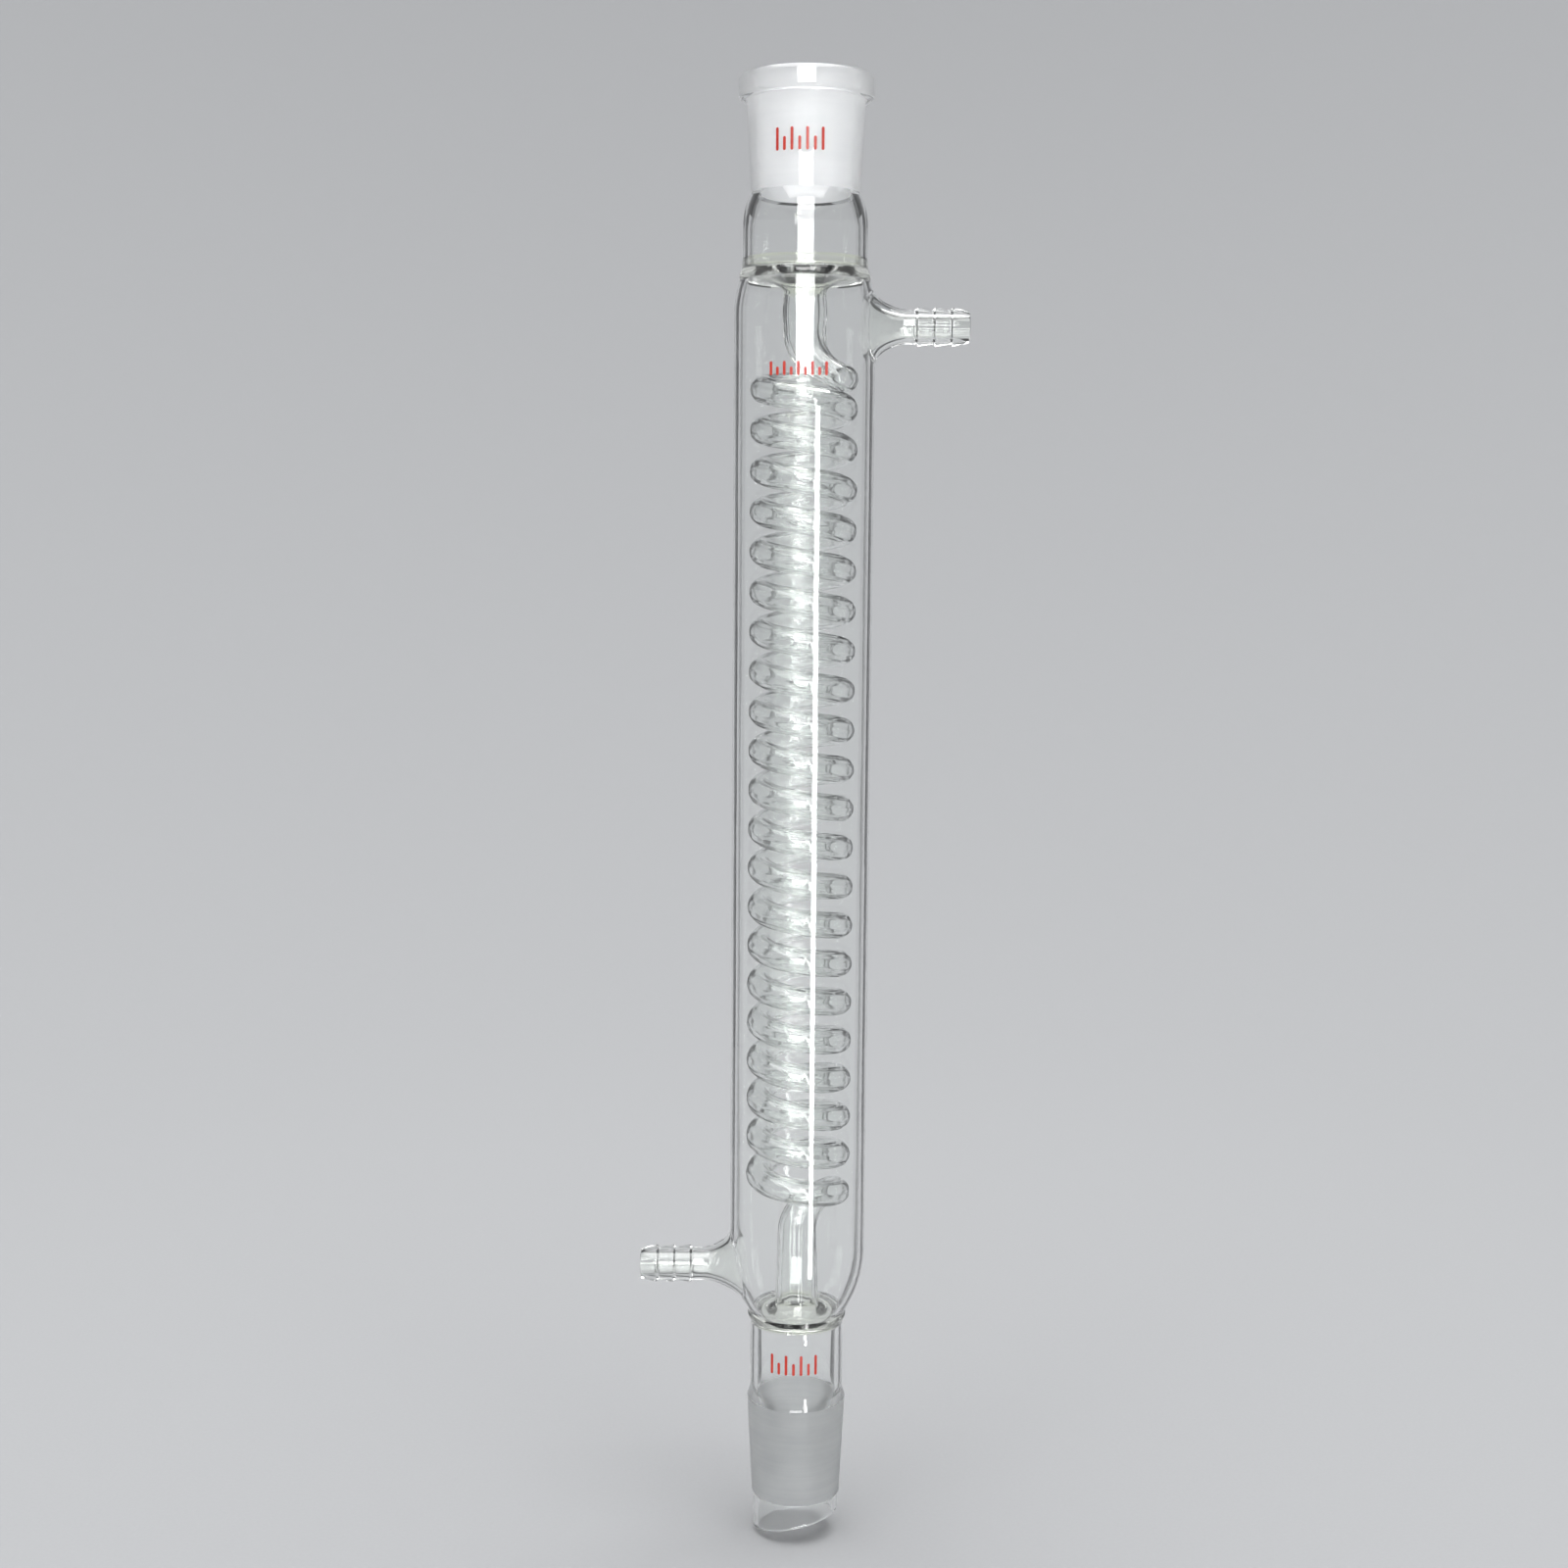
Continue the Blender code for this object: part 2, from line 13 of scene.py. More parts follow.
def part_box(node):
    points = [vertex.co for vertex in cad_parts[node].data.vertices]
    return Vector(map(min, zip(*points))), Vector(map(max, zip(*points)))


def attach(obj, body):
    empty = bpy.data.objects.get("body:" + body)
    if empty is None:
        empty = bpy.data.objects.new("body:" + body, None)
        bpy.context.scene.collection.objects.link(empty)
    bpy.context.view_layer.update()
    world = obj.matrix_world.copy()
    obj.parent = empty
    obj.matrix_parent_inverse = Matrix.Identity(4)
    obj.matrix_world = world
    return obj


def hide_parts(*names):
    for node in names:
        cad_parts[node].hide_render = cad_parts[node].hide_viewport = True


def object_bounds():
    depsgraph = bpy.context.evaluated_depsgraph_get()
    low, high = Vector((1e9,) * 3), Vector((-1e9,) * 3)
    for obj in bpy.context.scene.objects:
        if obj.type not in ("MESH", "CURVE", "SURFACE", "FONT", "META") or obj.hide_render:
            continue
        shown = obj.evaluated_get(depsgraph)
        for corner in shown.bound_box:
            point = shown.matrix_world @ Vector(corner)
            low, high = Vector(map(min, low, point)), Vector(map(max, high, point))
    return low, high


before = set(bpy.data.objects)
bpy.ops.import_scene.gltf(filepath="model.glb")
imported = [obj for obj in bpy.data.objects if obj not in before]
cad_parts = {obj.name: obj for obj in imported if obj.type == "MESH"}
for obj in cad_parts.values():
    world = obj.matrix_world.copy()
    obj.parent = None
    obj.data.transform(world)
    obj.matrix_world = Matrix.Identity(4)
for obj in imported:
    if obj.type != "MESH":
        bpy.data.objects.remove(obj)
cad_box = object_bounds()


# The inner tube. One drawn tube is softened, wound hot round a mandrel into 21 open
# turns, and led back to the axis at both ends, where it widens into a straight stem.
# The stems and the coil are fused end to end.

TUBE_RADIUS = 0.0038
TUBE_WALL = 0.0011
STEM_WALL = 0.0013
UPPER_STEM_RADIUS = 0.006
LOWER_STEM_RADIUS = 0.00635
LOWER_STEM_NECK = 0.00565
COIL_TURNS = 21
COIL_TOP_SPACE = 0.02725
COIL_FOOT_SPACE = 0.0363
TURN_STEPS = 60
SWEEP_STEPS = 48
TUBE_SIDES = 48
DRAWN_LINES = ((5, 0.009, 1.0), (9, 0.0075, 2.4), (14, 0.0055, 0.3))
UPPER_STEM_STRAIGHT = 0.0104
UPPER_STEM_SWELL = 0.0003
STEM_BEND = 0.0095
STEM_DRAWN = 0.65
LOWER_SWEEP_DROP = 0.0127
UPPER_THROAT_DROP = 0.0040
LOWER_THROAT_RISE = 0.0036

jacket_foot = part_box("jacket_tube")[0].z
jacket_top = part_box("jacket_tube")[1].z
coil_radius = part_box("coil_tube")[1].x - TUBE_RADIUS
coil_top = jacket_top - COIL_TOP_SPACE
coil_foot = jacket_foot + COIL_FOOT_SPACE
coil_pitch = (coil_top - coil_foot) / (COIL_TURNS - 0.25)


class Tone:
    """A value on its way through a material's nodes. Sums on it add Math nodes."""

    def __init__(self, tree, socket=None):
        self.tree = tree
        self.socket = socket

    def node(self, kind, settings=None, values=None, output=0):
        """Adds a node of a kind: its settings first, then what its sockets hold."""
        node = self.tree.nodes.new(kind)
        for name, value in (settings or {}).items():
            if name == "stops":
                for stop, (place, shade) in zip(node.color_ramp.elements, value):
                    stop.position = place
                    stop.color = (shade, shade, shade, 1)
            else:
                setattr(node, name, value)
        for name, value in (values or {}).items():
            if isinstance(value, Tone):
                self.tree.links.new(value.socket, node.inputs[name])
            else:
                node.inputs[name].default_value = value
        return Tone(self.tree, node.outputs[output] if node.outputs else None)

    def maths(self, operation, first, second):
        settings = {"operation": operation}
        return self.node("ShaderNodeMath", settings, {0: first, 1: second})

    def __add__(self, other):
        return self.maths("ADD", self, other)

    def __sub__(self, other):
        return self.maths("SUBTRACT", self, other)

    def __rsub__(self, other):
        return self.maths("SUBTRACT", other, self)

    def __mul__(self, other):
        return self.maths("MULTIPLY", self, other)

    __radd__ = __add__
    __rmul__ = __mul__

    def place(self, scale):
        """The object's own place, in metres, stretched along each axis."""
        here = self.node("ShaderNodeTexCoord", output="Object")
        return self.node("ShaderNodeMapping", None, {"Vector": here, "Scale": scale})

    def noise(self, scale, detail=2.0, rough=0.5):
        """Cloudy noise from 0 to 1, with scale features to the metre along each axis."""
        values = {"Vector": self.place(scale), "Scale": 1.0}
        values.update({"Detail": detail, "Roughness": rough})
        return self.node("ShaderNodeTexNoise", None, values)

    def ramp(self, low, high):
        """This value stretched so that low becomes 0 and high becomes 1."""
        settings = {"stops": ((low, 0), (high, 1))}
        return self.node("ShaderNodeValToRGB", settings, {"Fac": self})

    def blend(self, first, second):
        """A colour between two, with this value as the share of the second."""
        settings = {"data_type": "RGBA"}
        values = {0: self, 6: (*first, 1), 7: (*second, 1)}
        return self.node("ShaderNodeMix", settings, values, 2)

    def bump(self, depth):
        """A surface normal that this value raises by depth metres."""
        values = {"Height": self, "Strength": 1.0, "Distance": depth}
        return self.node("ShaderNodeBump", None, values)

    def finish(self, shader):
        out = self.tree.nodes.new("ShaderNodeOutputMaterial")
        self.tree.links.new(shader.socket, out.inputs["Surface"])


def new_material(name):
    material = bpy.data.materials.new(name)
    material.use_nodes = True
    material.node_tree.nodes.clear()
    return material, Tone(material.node_tree)


def clear_glass(name, thin, thick, waviness, run=(1400, 1400, 22), drawn=0.12):
    """Fire-polished glass. The wall waves slowly where it was blown, fine lines run along
    it where it was drawn, and a faint film dulls it in places."""
    material, tone = new_material(name)
    waves = tone.noise((70, 70, 45))
    lines = tone.noise(run, 3.0)
    film = tone.noise((160, 160, 90), 4.0, 0.6)
    values = {
        "Base Color": film.blend(thin, thick),
        "Roughness": film.ramp(0.45, 0.8) * 0.035,
        "IOR": 1.47,
        "Transmission Weight": 1.0,
        "Normal": (waves + lines * drawn).bump(waviness),
    }
    tone.finish(tone.node("ShaderNodeBsdfPrincipled", None, values))
    return material


def band(mesh, first, second):
    """Quads between two rings of corners. Rings run against the clock as seen from above,
    and from the first to the second the glass lies on the right."""
    for i in range(len(first)):
        j = (i + 1) % len(first)
        mesh.faces.new((first[i], second[i], second[j], first[j]))


def loft(mesh, rings):
    """A sheet of glass surface through rings of points. Gives back its corner rows."""
    rows = [[mesh.verts.new(point) for point in ring] for ring in rings]
    for first, second in zip(rows, rows[1:]):
        band(mesh, first, second)
    return rows


def add_piece(name, mesh, materials, node, sharp=35):
    """A finished piece of the condenser, which stands for one node of the frame."""
    data = bpy.data.meshes.new(name)
    mesh.to_mesh(data)
    mesh.free()
    for material in materials:
        data.materials.append(material)
    data.shade_smooth()
    data.set_sharp_from_angle(angle=math.radians(sharp))
    thing = bpy.data.objects.new(name, data)
    bpy.context.scene.collection.objects.link(thing)
    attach(thing, "root")
    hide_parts(node)
    return thing


def coil_point(angle):
    """The coil's centre line. Going down, it turns from +X towards +Y, and its first half
    turn levels out of the stem's sweep."""
    drop = coil_pitch / 4 * (angle / math.pi) ** 2
    if angle > math.pi:
        drop = coil_pitch / 4 + coil_pitch * (angle - math.pi) / math.tau
    across, along = coil_radius * math.cos(angle), coil_radius * math.sin(angle)
    return Vector((across, along, coil_top - drop))


def stem_sweep(coil_end, coil_handle, bend, radius):
    """From the bend on the axis to the coil's end, drawn down to the coil's size."""
    side = math.copysign(STEM_BEND, coil_end.z - bend.z)
    handle = bend + Vector((0, 0, side))
    points = interpolate_bezier(bend, handle, coil_handle, coil_end, SWEEP_STEPS + 1)
    path = []
    for i, point in enumerate(points):
        drawn = min(i / SWEEP_STEPS / STEM_DRAWN, 1)
        drawn = drawn * drawn * (3 - 2 * drawn)
        size = radius + (TUBE_RADIUS - radius) * drawn
        path.append((point, size, STEM_WALL + (TUBE_WALL - STEM_WALL) * drawn))
    return path


def inner_tube_path():
    """Centre, radius and wall all along the inner tube, and the places where the two
    stems end."""
    top = Vector((0, 0, jacket_top - UPPER_THROAT_DROP))
    bend = top - Vector((0, 0, UPPER_STEM_STRAIGHT))
    start = coil_point(0)
    upper = []
    for i in range(12):
        swell = UPPER_STEM_SWELL * (1 - math.cos(math.tau * i / 12)) / 2
        upper.append((top.lerp(bend, i / 12), UPPER_STEM_RADIUS + swell, STEM_WALL))
    upper += stem_sweep(start, start - Vector((0, coil_radius, 0)), bend, UPPER_STEM_RADIUS)

    coil = []
    for i in range(1, COIL_TURNS * TURN_STEPS):
        coil.append((coil_point(i * math.tau / TURN_STEPS), TUBE_RADIUS, TUBE_WALL))

    end = coil_point(COIL_TURNS * math.tau)
    slope = Vector((0, coil_radius, -coil_pitch / math.tau))
    bend = Vector((0, 0, end.z - LOWER_SWEEP_DROP))
    foot = Vector((0, 0, jacket_foot + LOWER_THROAT_RISE))
    lower = stem_sweep(end, end + slope, bend, LOWER_STEM_NECK)
    lower.reverse()
    for i in range(1, 9):
        size = LOWER_STEM_NECK + (LOWER_STEM_RADIUS - LOWER_STEM_NECK) * i / 8
        lower.append((bend.lerp(foot, i / 8), size, STEM_WALL))
    return upper + coil + lower, len(upper) - 1, len(upper) + len(coil)


def drawn_line(turn, shift):
    """How far the fine lines that drawing leaves stand out at a place round the tube."""
    lines = (depth * math.sin(count * turn + shift * begin) for count, depth, begin in DRAWN_LINES)
    return sum(lines)


def tube_rings(path):
    """Rings of the outer and the inner surface along a path, carried without a twist."""
    outer, inner = [], []
    across = Vector((1, 0, 0))
    for i, (point, radius, wall) in enumerate(path):
        ahead = path[min(i + 1, len(path) - 1)][0] - path[max(i - 1, 0)][0]
        ahead.normalize()
        across = (across - ahead * across.dot(ahead)).normalized()
        side = across.cross(ahead)
        for rings, size, shift in ((outer, radius, 1), (inner, radius - wall, 2)):
            ring = []
            for j in range(TUBE_SIDES):
                angle = math.tau * j / TUBE_SIDES
                reach = size * (1 + drawn_line(angle, shift))
                ring.append(point + reach * (math.cos(angle) * across + math.sin(angle) * side))
            rings.append(ring)
    return outer, inner


stem_glass = clear_glass("drawn_tube_glass", (0.985, 0.99, 0.985), (0.965, 0.98, 0.97), 0.00003)
coil_glass = clear_glass(
    "wound_tube_glass", (0.985, 0.99, 0.985), (0.965, 0.98, 0.97), 0.00004, (110, 110, 1300), 0.5
)
path, coil_start, coil_end = inner_tube_path()
outer_rings, inner_rings = tube_rings(path)
spans = (
    ("stem_above_coil", "upper_stem", 0, coil_start, stem_glass),
    ("wound_coil", "coil_tube", coil_start, coil_end, coil_glass),
    ("stem_below_coil", "lower_stem", coil_end, len(path) - 1, stem_glass),
)
for name, node, first, last, glass in spans:
    mesh = bmesh.new()
    loft(mesh, outer_rings[first : last + 1])
    loft(mesh, inner_rings[last : first - 1 if first else None : -1])
    add_piece(name, mesh, [glass], node)


# The water jacket. A 40 mm tube of even wall, worked in at both ends to meet the ring
# seals, and opened on each side where a hose nozzle is drawn out of it.

JACKET_WALL = 0.0018
TOP_SHOULDER = 0.009
TOP_POWER = 1.8
FOOT_SHOULDER = 0.0191
FOOT_POWER = 2.2
JACKET_TOP_RADIUS = 0.0185
JACKET_FOOT_RADIUS = 0.0144
NOZZLE_FLARE_RADIUS = 0.0103
NOZZLE_INNER_FLARE = 0.0087
AROUND = 128
FOOT_ROWS = 0.0005
BODY_ROWS = 0.004
TOP_ROWS = 0.0003
OPENING_COLUMNS = 13
OPENING_REACH = 0.0120
OPENING_STEP = 0.001
OPENING_BANDS = 4

jacket_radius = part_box("jacket_tube")[1].y
nozzle_heights = {}
for node, side in (("upper_nozzle", 1), ("lower_nozzle", -1)):
    low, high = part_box(node)
    nozzle_heights[side] = (low.z + high.z) / 2


def jacket_outside(height):
    above = max(height - jacket_top + TOP_SHOULDER, 0) / TOP_SHOULDER
    below = max(jacket_foot + FOOT_SHOULDER - height, 0) / FOOT_SHOULDER
    drawn_in = (jacket_radius - JACKET_TOP_RADIUS) * above**TOP_POWER
    return jacket_radius - drawn_in - (jacket_radius - JACKET_FOOT_RADIUS) * below**FOOT_POWER


def jacket_inside(height):
    step = 0.00005
    slope = (jacket_outside(height + step) - jacket_outside(height - step)) / (2 * step)
    return jacket_outside(height) - JACKET_WALL * math.hypot(1, slope)


def spaced(start, stop, step):
    """Even places from start up to stop, about a step apart, without stop itself."""
    count = max(round((stop - start) / step), 1)
    return [start + (stop - start) * i / count for i in range(count)]


def jacket_rows():
    lower = nozzle_heights[-1]
    upper = nozzle_heights[1]
    rows = spaced(jacket_foot, lower - OPENING_REACH, FOOT_ROWS)
    rows += spaced(lower - OPENING_REACH, lower + OPENING_REACH, OPENING_STEP)
    rows += spaced(lower + OPENING_REACH, upper - OPENING_REACH, BODY_ROWS)
    rows += spaced(upper - OPENING_REACH, upper + OPENING_REACH, OPENING_STEP)
    rows += spaced(upper + OPENING_REACH, jacket_top, TOP_ROWS)
    return rows + [jacket_top]


def ring_round_nozzle(count_up, count_across):
    """Steps round the edge of an opening's square patch, as (row, column) from its centre:
    from the top clockwise, seen from outside with the nozzle towards the viewer."""
    steps = [(count_up, column) for column in range(0, count_across)]
    steps += [(row, count_across) for row in range(count_up, -count_up, -1)]
    steps += [(-count_up, column) for column in range(count_across, -count_across, -1)]
    steps += [(row, -count_across) for row in range(-count_up, count_up)]
    steps += [(count_up, column) for column in range(-count_across, 0)]
    return steps


def on_wall(surface, side, across, up, out=0.0):
    """A point of the jacket's surface beside a nozzle's axis, or out beyond it."""
    height = nozzle_heights[side] + up
    reach = math.sqrt(surface(height) ** 2 - across**2) + out
    return Vector((side * reach, side * across, height))


def jacket_sheet(mesh, rows, surface, opening, outward):
    """One side of the jacket's wall, with a round opening at each nozzle."""
    heights = rows[::-1] if outward else rows
    grid = []
    for height in heights:
        radius = surface(height)
        row = []
        for column in range(AROUND):
            turn = math.tau * column / AROUND
            row.append(mesh.verts.new((radius * math.cos(turn), radius * math.sin(turn), height)))
        grid.append(row)
    half = round(OPENING_REACH / OPENING_STEP)
    middles = {}
    for side, height in nozzle_heights.items():
        nearest = min(range(len(heights)), key=lambda row: abs(heights[row] - height))
        middles[side] = (nearest, 0 if side > 0 else AROUND // 2)
    for row in range(len(heights) - 1):
        for column in range(AROUND):
            inside = False
            for middle, centre in middles.values():
                away = (column - centre + AROUND // 2) % AROUND - AROUND // 2
                level = middle - half <= row < middle + half
                if level and -OPENING_COLUMNS <= away < OPENING_COLUMNS:
                    inside = True
            if not inside:
                following = (column + 1) % AROUND
                above, below = grid[row], grid[row + 1]
                corners = (above[column], below[column], below[following], above[following])
                mesh.faces.new(corners)
    up = -1 if outward else 1
    for side, (middle, centre) in middles.items():
        steps = ring_round_nozzle(half, OPENING_COLUMNS)
        edge = [grid[middle + up * row][(centre + column) % AROUND] for row, column in steps]
        bands = [edge]
        for i in range(1, OPENING_BANDS + 1):
            share = i / OPENING_BANDS
            ring = []
            for vertex, turn in zip(edge, opening_turns):
                across, rise = side * vertex.co.y, vertex.co.z - nozzle_heights[side]
                circle = (opening * math.sin(turn), opening * math.cos(turn))
                across += (circle[0] - across) * share
                rise += (circle[1] - rise) * share
                ring.append(mesh.verts.new(on_wall(surface, side, across, rise)))
            bands.append(ring)
        if not outward:
            bands.reverse()
        for first, second in zip(bands, bands[1:]):
            band(mesh, first, second)


def opening_angles():
    """Where the corners round a nozzle stand, as angles from straight up."""
    half = round(OPENING_REACH / OPENING_STEP)
    angles = []
    for row, column in ring_round_nozzle(half, OPENING_COLUMNS):
        across = jacket_radius * math.sin(math.tau * column / AROUND)
        angles.append(math.atan2(across, row * OPENING_STEP) % math.tau)
    return angles


opening_turns = opening_angles()
body_glass = clear_glass("blown_jacket_glass", (0.99, 0.995, 0.99), (0.975, 0.985, 0.98), 0.00003)
mesh = bmesh.new()
jacket_sheet(mesh, jacket_rows(), jacket_outside, NOZZLE_FLARE_RADIUS, True)
jacket_sheet(mesh, jacket_rows(), jacket_inside, NOZZLE_INNER_FLARE, False)
add_piece("water_jacket", mesh, [body_glass], "jacket_tube")


# The hose nozzles. Each is pressed from thick tube, with three ridges that grip a hose, and
# its flared foot is fused over the opening in the jacket and worked smooth into the wall.

NOZZLE_RADIUS = 0.0048
NOZZLE_BORE = 0.0032
FLARE_HEIGHT = 0.0088
FLARE_ROUND = 1.2
RIDGE_RADIUS = 0.0055
RIDGE_PITCH = 0.0049
RIDGE_COUNT = 3
RIDGE_BACK = 0.0006
NOZZLE_ROUND = 0.00025
MOUTH_RADIUS = 0.0044


def rounded(corners, size, steps=4):
    """A line of (radius, height) corners, each rounded off over a size of its own run."""
    line = [corners[0]]
    for before, corner, after in zip(corners, corners[1:], corners[2:]):
        before, corner, after = Vector(before), Vector(corner), Vector(after)
        back = min(size, (before - corner).length * 0.45)
        onward = min(size, (after - corner).length * 0.45)
        start = corner + (before - corner).normalized() * back
        stop = corner + (after - corner).normalized() * onward
        for i in range(steps + 1):
            share = i / steps
            bent = start.lerp(corner, share).lerp(corner.lerp(stop, share), share)
            line.append((bent.x, bent.y))
    line.append(corners[-1])
    return line


def flare(narrow, wide, height, steps=14):
    """(radius, height above the jacket) from the jacket up to the straight tube."""
    found = []
    for i in range(steps + 1):
        angle = math.pi / 2 * (1 - i / steps)
        spread = 1 - max(math.cos(angle), 0) ** FLARE_ROUND
        rise = 1 - max(math.sin(angle), 0) ** FLARE_ROUND
        found.append((narrow + (wide - narrow) * spread, height * rise))
    return found


def nozzle_tube():
    """(radius, distance from the axis) along the tube: out over the ridges, round the
    mouth and back along the bore."""
    corners = [(NOZZLE_RADIUS, nozzle_reach - RIDGE_PITCH * (RIDGE_COUNT + 0.35))]
    for i in reversed(range(RIDGE_COUNT)):
        ridge = nozzle_reach - RIDGE_PITCH * (i + 1)
        corners += [(NOZZLE_RADIUS, ridge - RIDGE_BACK), (RIDGE_RADIUS, ridge)]
    corners.append((MOUTH_RADIUS, nozzle_reach))
    corners.append((NOZZLE_BORE, nozzle_reach))
    corners.append((NOZZLE_BORE, jacket_radius + FLARE_HEIGHT + 0.0005))
    return rounded(corners, NOZZLE_ROUND)


def nozzle_ring(side, radius, distance):
    ring = []
    for turn in opening_turns:
        across, up = radius * math.sin(turn), radius * math.cos(turn)
        ring.append(Vector((side * distance, side * across, nozzle_heights[side] + up)))
    return ring


def flare_ring(side, surface, radius, out):
    ring = []
    for turn in opening_turns:
        ring.append(on_wall(surface, side, radius * math.sin(turn), radius * math.cos(turn), out))
    return ring


nozzle_glass = clear_glass(
    "pressed_nozzle_glass", (0.985, 0.995, 0.98), (0.96, 0.98, 0.96), 0.00003
)
nozzles = (("upper_hose_nozzle", "upper_nozzle", 1), ("lower_hose_nozzle", "lower_nozzle", -1))
for name, node, side in nozzles:
    low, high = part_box(node)
    nozzle_reach = max(high.x, -low.x)
    outside = flare(NOZZLE_RADIUS, NOZZLE_FLARE_RADIUS, FLARE_HEIGHT)
    inside = flare(NOZZLE_BORE, NOZZLE_INNER_FLARE, FLARE_HEIGHT + JACKET_WALL)
    rings = [flare_ring(side, jacket_outside, radius, out) for radius, out in outside]
    rings += [nozzle_ring(side, radius, distance) for radius, distance in nozzle_tube()]
    rings += [flare_ring(side, jacket_inside, radius, out) for radius, out in reversed(inside)]
    mesh = bmesh.new()
    loft(mesh, rings)
    add_piece(name, mesh, [nozzle_glass], node)


# The ring seals. Jacket, end tube and inner stem meet here in one thick ring, fused in
# the flame, with a dished wall that carries the stem. Glass this thick looks pale green.

SEAL_BEAD = 0.0003
SEPTUM = 0.0022
WATER_SIDE_DISH = 0.7
VAPOUR_SIDE_DISH = 1.2
NECK_WALL = 0.0018
CONE_NECK_RADIUS = 0.01375
CONE_NECK_WALL = 0.002
SEAM = 0.0003
SEAL_FILLET = 0.0013
UPPER_BEAD_ROUND = 0.0012
LOWER_BEAD_ROUND = 0.0010

neck_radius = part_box("socket_neck")[1].y
neck_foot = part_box("socket_neck")[0].z - SEAM / 2
lower_seal_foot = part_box("cone_neck")[1].z + SEAM / 2


def turned_ring(radius, height):
    turns = (math.tau * j / AROUND for j in range(AROUND))
    return [Vector((radius * math.cos(turn), radius * math.sin(turn), height)) for turn in turns]


def turned(mesh, line):
    """A turned surface. Its line of (radius, height) points runs with the glass on its
    right: down the outside, up the inside."""
    return loft(mesh, [turned_ring(radius, height) for radius, height in line])


def dished(wide, rim, narrow, throat, power, steps=24):
    """From (wide, rim), where it lies flat, to (narrow, throat), where it runs along the
    axis. A small power keeps it flat for longer."""
    found = []
    for i in range(steps + 1):
        angle = math.pi / 2 * i / steps
        radius = wide - (wide - narrow) * math.sin(angle)
        found.append((radius, throat + (rim - throat) * max(math.cos(angle), 0) ** power))
    return found


def fillet(wall_radius, floor_height, size, up, steps=6):
    """A small hollow corner from a wall down, or up, onto a dish."""
    found = []
    for i in range(steps):
        angle = math.pi / 2 * i / steps
        inward = size * (1 - math.cos(angle))
        found.append((wall_radius - inward, floor_height + up * size * (1 - math.sin(angle))))
    return found


seal_glass = clear_glass("thick_seal_glass", (0.975, 0.99, 0.94), (0.95, 0.975, 0.89), 0.0002)
mesh = bmesh.new()
height = neck_foot - jacket_top
bead = [
    (neck_radius, neck_foot),
    (neck_radius + SEAL_BEAD, jacket_top + height * 0.8),
    (neck_radius + SEAL_BEAD / 2, jacket_top + height * 0.55),
    (JACKET_TOP_RADIUS + SEAL_BEAD / 2, jacket_top + height * 0.25),
    (JACKET_TOP_RADIUS, jacket_top),
]
turned(mesh, rounded(bead, UPPER_BEAD_ROUND, 6))
wall = jacket_inside(jacket_top)
throat = jacket_top - UPPER_THROAT_DROP
turned(mesh, dished(wall, jacket_top, UPPER_STEM_RADIUS, throat, WATER_SIDE_DISH))
wall = neck_radius - NECK_WALL
over = [(wall, neck_foot)]
rim = jacket_top + SEPTUM
over += fillet(wall, rim, SEAL_FILLET, 1)
over += dished(wall - SEAL_FILLET, rim, UPPER_STEM_RADIUS - STEM_WALL, throat, VAPOUR_SIDE_DISH)
turned(mesh, over[::-1])
add_piece("upper_seal_ring", mesh, [seal_glass], "upper_ring_seal")

mesh = bmesh.new()
height = jacket_foot - lower_seal_foot
bead = [
    (JACKET_FOOT_RADIUS, jacket_foot),
    (JACKET_FOOT_RADIUS + SEAL_BEAD, lower_seal_foot + height * 0.6),
    (CONE_NECK_RADIUS + SEAL_BEAD, lower_seal_foot + height * 0.2),
    (CONE_NECK_RADIUS, lower_seal_foot),
]
turned(mesh, rounded(bead, LOWER_BEAD_ROUND, 6))
throat = jacket_foot + LOWER_THROAT_RISE
wall = jacket_inside(jacket_foot)
turned(mesh, dished(wall, jacket_foot, LOWER_STEM_RADIUS, throat, WATER_SIDE_DISH)[::-1])
wall = CONE_NECK_RADIUS - CONE_NECK_WALL
under = [(wall, lower_seal_foot)]
rim = jacket_foot - SEPTUM
under += fillet(wall, rim, SEAL_FILLET, -1)
under += dished(wall - SEAL_FILLET, rim, LOWER_STEM_RADIUS - STEM_WALL, throat, VAPOUR_SIDE_DISH)
turned(mesh, under)
add_piece("lower_seal_ring", mesh, [seal_glass], "lower_ring_seal")


# The end tubes. Short clear tubes join the seals to the ground joints. The upper one
# swells out below the socket, and the lower one flares a little onto the cone.

SOCKET_WALL = 0.00235
NECK_STEP = 0.0022
NECK_BULGE = 0.0095
NECK_POWER = 2.4
CONE_FLARE = 0.004
CONE_FLARE_POWER = 1.8
CONE_RADIUS = 0.0146

socket_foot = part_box("socket_neck")[1].z + SEAM / 2
socket_foot_radius = neck_radius - NECK_STEP
outer, inner = [], []
for i in range(25):
    share = 1 - i / 24
    radius = neck_radius - NECK_STEP * share**NECK_POWER
    height = socket_foot - NECK_BULGE * (1 - share)
    outer.append((radius, height))
    inner.append((radius - NECK_WALL - (SOCKET_WALL - NECK_WALL) * share, height))
outer.append((neck_radius, neck_foot))
inner.append((neck_radius - NECK_WALL, neck_foot))
mesh = bmesh.new()
turned(mesh, outer)
turned(mesh, inner[::-1])
add_piece("socket_end_tube", mesh, [body_glass], "socket_neck")

